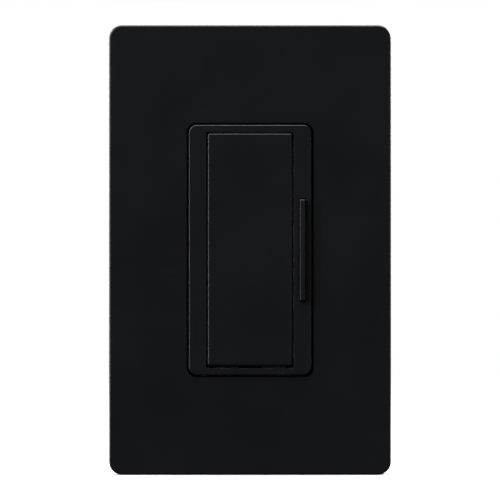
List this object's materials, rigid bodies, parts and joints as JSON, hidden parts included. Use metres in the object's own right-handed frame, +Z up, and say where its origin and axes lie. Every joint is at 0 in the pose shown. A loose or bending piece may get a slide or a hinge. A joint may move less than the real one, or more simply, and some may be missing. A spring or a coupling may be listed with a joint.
{
  "type": "wall dimmer switch",
  "caption": "Single-gang wall dimmer with a tall tap paddle, a slim raise and lower rocker bar, a pull-out air-gap tab and a screwless plate.",
  "frame": {"origin": "middle of the two box screws, in the plane of the wall surface, which is the yoke's back face and the cover's back rim", "axes": "+Z up, +X to the right of someone facing the wall, +Y into the wall along the box screws; the face of the dimmer looks along -Y"},
  "size_m": [0.0746, 0.037, 0.119],
  "materials": {
    "cover_black": "satin",
    "adapter_black": "matte",
    "zinc_steel": "satin",
    "yoke_aluminium": "satin",
    "fibre": "matte",
    "ground_green": "gloss",
    "control_black": "satin",
    "spring_steel": "polished",
    "housing_grey": "matte",
    "tinned_steel": "satin",
    "terminal_brass": "satin",
    "terminal_black": "satin",
    "terminal_blue": "satin",
    "sheet_grey": "matte",
    "board_green": "gloss",
    "switch_black": "matte",
    "plunger_brown": "satin",
    "triac_black": "matte",
    "pad_grey": "matte",
    "rivet_aluminium": "satin",
    "core_yellow": "satin",
    "copper_wire": "gloss",
    "capacitor_box": "satin",
    "capacitor_sleeve": "gloss",
    "chip_black": "matte",
    "fuse_glass": "gloss",
    "resistor_body": "satin"
  },
  "bodies": {
    "dimmer_body": {"wallplate_cover": "cover_black", "adapter_plate": "adapter_black", "adapter_screws": "zinc_steel", "mounting_yoke": "yoke_aluminium", "box_screws": "zinc_steel", "screw_retainers": "fibre", "ground_screw": "ground_green", "housing_screws": "zinc_steel", "bezel": "control_black", "paddle_spring": "spring_steel", "back_housing": "housing_grey", "clamp_plates": "tinned_steel", "terminal_brackets": "terminal_brass", "line_terminal_screw": "terminal_brass", "load_terminal_screw": "terminal_black", "companion_terminal_screw": "terminal_blue", "insulating_sheet": "sheet_grey", "circuit_board": "board_green", "tap_switch_housing": "switch_black", "raise_switch_housing": "switch_black", "lower_switch_housing": "switch_black", "switch_cover_plates": "tinned_steel", "switch_legs": "tinned_steel", "triac": "triac_black", "triac_pad": "pad_grey", "triac_rivet": "rivet_aluminium", "choke_core": "core_yellow", "choke_winding": "copper_wire", "film_capacitor": "capacitor_box", "electrolytic_capacitor": "capacitor_sleeve", "microcontroller": "chip_black", "fuse": "fuse_glass", "resistors": "resistor_body", "air_gap_leaf": "terminal_brass", "air_gap_contact": "terminal_brass"},
    "paddle": {"tap_paddle": "control_black"},
    "rocker": {"dimming_rocker": "control_black"},
    "tab": {"air_gap_tab": "control_black"},
    "tap_plunger": {"tap_switch_plunger": "plunger_brown"},
    "raise_plunger": {"raise_switch_plunger": "plunger_brown"},
    "lower_plunger": {"lower_switch_plunger": "plunger_brown"}
  },
  "joints": [
    {"name": "paddle_press", "type": "hinge", "parent": "dimmer_body", "child": "paddle", "pos_m": [0, -0.0052, 0.02878], "axis": [1, 0, 0], "range_deg": [0, 1], "stiffness_Nm_per_rad": 2, "springref_deg": -0.86, "deforming": ["paddle_spring"]},
    {"name": "tap_plunger_travel", "type": "slide", "parent": "dimmer_body", "child": "tap_plunger", "axis": [0, 1, 0], "range_m": [0, 0.00055]},
    {"name": "rocker_tilt", "type": "hinge", "parent": "dimmer_body", "child": "rocker", "pos_m": [0.0139, -0.0046, 0], "axis": [-1, 0, 0], "range_deg": [-1.9, 1.9], "stiffness_Nm_per_rad": 0.3},
    {"name": "raise_plunger_travel", "type": "slide", "parent": "dimmer_body", "child": "raise_plunger", "axis": [0, 1, 0], "range_m": [-0.0003, 0.0003]},
    {"name": "lower_plunger_travel", "type": "slide", "parent": "dimmer_body", "child": "lower_plunger", "axis": [0, 1, 0], "range_m": [-0.0003, 0.0003]},
    {"name": "air_gap_pull", "type": "slide", "parent": "dimmer_body", "child": "tab", "axis": [0, -1, 0], "range_m": [0, 0.0025], "deforming": ["air_gap_leaf"]}
  ],
  "couplings": [
    {"joint": "tap_plunger_travel", "follows": "paddle_press", "m_per_rad": 0.03},
    {"joint": "raise_plunger_travel", "follows": "rocker_tilt", "m_per_rad": 0.009},
    {"joint": "lower_plunger_travel", "follows": "rocker_tilt", "m_per_rad": -0.009}
  ]
}
